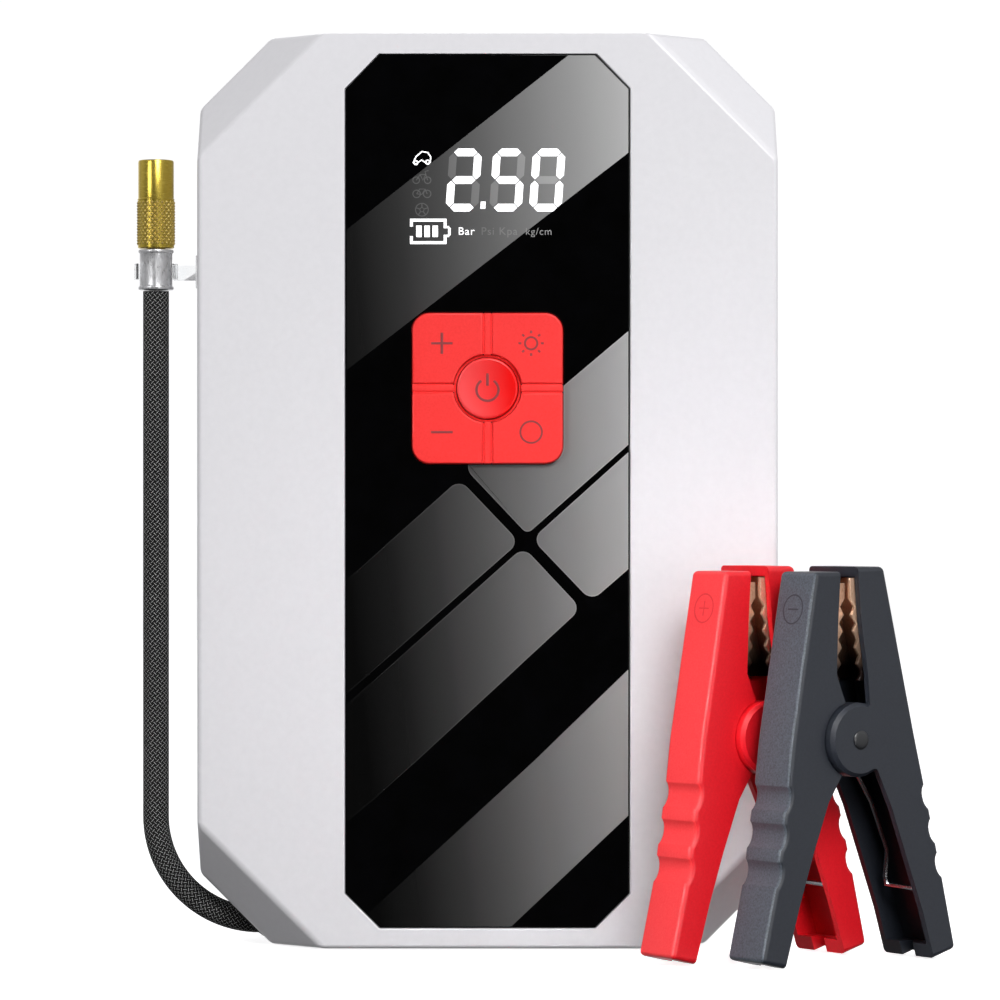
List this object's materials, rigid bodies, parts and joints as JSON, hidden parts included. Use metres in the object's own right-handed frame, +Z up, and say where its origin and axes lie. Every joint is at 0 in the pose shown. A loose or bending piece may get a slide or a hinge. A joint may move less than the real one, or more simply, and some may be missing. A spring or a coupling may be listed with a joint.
{
  "type": "jump starter pack",
  "caption": "Upright jump starter and tyre inflator with a black front panel, red keypad, braided air hose with a screw-on chuck, and two spring clamps standing beside it.",
  "frame": {"origin": "middle of the case's bottom face, which the pack stands on", "axes": "+Z up the case, +X to the right of its front, +Y from the front panel to the rear"},
  "size_m": [0.1866, 0.0998, 0.208],
  "materials": {
    "case_white": "satin white ABS",
    "gloss_black": "piano black",
    "matte_black": "matte black",
    "key_red": "soft satin red",
    "power_red": "satin red",
    "rubber_black": "matte",
    "circuit_green": "solder mask",
    "cell_silver": "foil pouch",
    "steel": "plated",
    "aluminium": "satin",
    "brass": "turned",
    "copper": "pressed copper",
    "braid": "braided nylon",
    "lens": "clear",
    "clamp_black": "fine grain",
    "clamp_red": "fine grain",
    "lead_red": "silicone"
  },
  "bodies": {
    "case": {"front_shell": "case_white", "rear_shell": "case_white", "lamp_reflector": "case_white", "hose_clip": "case_white", "front_panel": "gloss_black", "display_module": "matte_black", "battery_tray": "matte_black", "jump_socket": "matte_black", "motor_endcap": "matte_black", "hose_gland": "matte_black", "keypad_frame": "key_red", "keypad_membrane": "rubber_black", "lead_negative": "rubber_black", "air_tube": "rubber_black", "chuck_seal": "rubber_black", "control_board": "circuit_green", "main_board": "circuit_green", "usb_board": "circuit_green", "lamp_board": "circuit_green", "battery_cell_1": "cell_silver", "battery_cell_2": "cell_silver", "battery_cell_3": "cell_silver", "case_screw_1": "steel", "case_screw_2": "steel", "case_screw_3": "steel", "case_screw_4": "steel", "usb_a_port": "steel", "usb_c_port": "steel", "motor_can": "steel", "compressor_frame": "aluminium", "cylinder": "aluminium", "cylinder_head": "aluminium", "hose_ferrule": "aluminium", "chuck_stem": "brass", "hose": "braid", "lamp_lens": "lens", "lead_positive": "lead_red"},
    "button_plus": {"button_plus": "key_red"},
    "button_light": {"button_light": "key_red"},
    "button_minus": {"button_minus": "key_red"},
    "button_mode": {"button_mode": "key_red"},
    "button_power": {"button_power": "power_red"},
    "socket_cover": {"socket_cover": "rubber_black"},
    "motor_rotor": {"motor_rotor": "copper"},
    "crank_gear": {"crank_gear": "steel"},
    "piston": {"piston_rod": "aluminium", "piston_cup": "rubber_black"},
    "chuck_collar": {"chuck_collar": "brass"},
    "black_clamp": {"black_grip_left": "clamp_black", "black_jaw_left": "copper", "black_pivot_pin": "steel", "black_spring": "steel"},
    "black_lever": {"black_grip_right": "clamp_black", "black_jaw_right": "copper"},
    "red_clamp": {"red_grip_left": "clamp_red", "red_jaw_left": "copper", "red_pivot_pin": "steel", "red_spring": "steel"},
    "red_lever": {"red_grip_right": "clamp_red", "red_jaw_right": "copper"}
  },
  "joints": [
    {"name": "plus_press", "type": "slide", "parent": "case", "child": "button_plus", "axis": [0, 1, 0], "range_m": [0, 0.0008], "stiffness_N_per_m": 400, "springref_m": -0.0005},
    {"name": "light_press", "type": "slide", "parent": "case", "child": "button_light", "axis": [0, 1, 0], "range_m": [0, 0.0008], "stiffness_N_per_m": 400, "springref_m": -0.0005},
    {"name": "minus_press", "type": "slide", "parent": "case", "child": "button_minus", "axis": [0, 1, 0], "range_m": [0, 0.0008], "stiffness_N_per_m": 400, "springref_m": -0.0005},
    {"name": "mode_press", "type": "slide", "parent": "case", "child": "button_mode", "axis": [0, 1, 0], "range_m": [0, 0.0008], "stiffness_N_per_m": 400, "springref_m": -0.0005},
    {"name": "power_press", "type": "slide", "parent": "case", "child": "button_power", "axis": [0, 1, 0], "range_m": [0, 0.0008], "stiffness_N_per_m": 400, "springref_m": -0.0005},
    {"name": "socket_cover_hinge", "type": "hinge", "parent": "case", "child": "socket_cover", "pos_m": [0.0652, -0.002, 0.1368], "axis": [0, 1, 0], "range_deg": [0, 110], "stiffness_Nm_per_rad": 0.001, "springref_deg": -17.19},
    {"name": "motor_spin", "type": "hinge", "parent": "case", "child": "motor_rotor", "pos_m": [-0.0003, 0.003, 0.06], "axis": [0, 0, 1], "continuous": true},
    {"name": "crank_spin", "type": "hinge", "parent": "case", "child": "crank_gear", "pos_m": [-0.02, 0.003, 0.06], "axis": [0, 0, 1], "continuous": true},
    {"name": "piston_stroke", "type": "slide", "parent": "case", "child": "piston", "axis": [1, 0, 0], "range_m": [0, 0.01]},
    {"name": "chuck_turn", "type": "hinge", "parent": "case", "child": "chuck_collar", "pos_m": [-0.07685, -0.006, 0.1702], "axis": [0, 0, 1], "continuous": true},
    {"name": "black_clamp_lift", "type": "slide", "parent": "case", "child": "black_clamp", "axis": [0, 0, 1], "range_m": [0, 0.12]},
    {"name": "black_jaw_open", "type": "hinge", "parent": "black_clamp", "child": "black_lever", "pos_m": [0.08072, -0.0585, 0.0493], "axis": [-0.5878, 0.809, 0], "range_deg": [0, 20], "stiffness_Nm_per_rad": 0.4, "springref_deg": -22.92, "deforming": ["black_spring"]},
    {"name": "red_clamp_lift", "type": "slide", "parent": "case", "child": "red_clamp", "axis": [0, 0, 1], "range_m": [0, 0.12]},
    {"name": "red_jaw_open", "type": "hinge", "parent": "red_clamp", "child": "red_lever", "pos_m": [0.06162, -0.049, 0.0493], "axis": [-0.5878, 0.809, 0], "range_deg": [0, 20], "stiffness_Nm_per_rad": 0.4, "springref_deg": -22.92, "deforming": ["red_spring"]}
  ],
  "couplings": [
    {"joint": "crank_spin", "follows": "motor_spin", "ratio": -0.225}
  ]
}
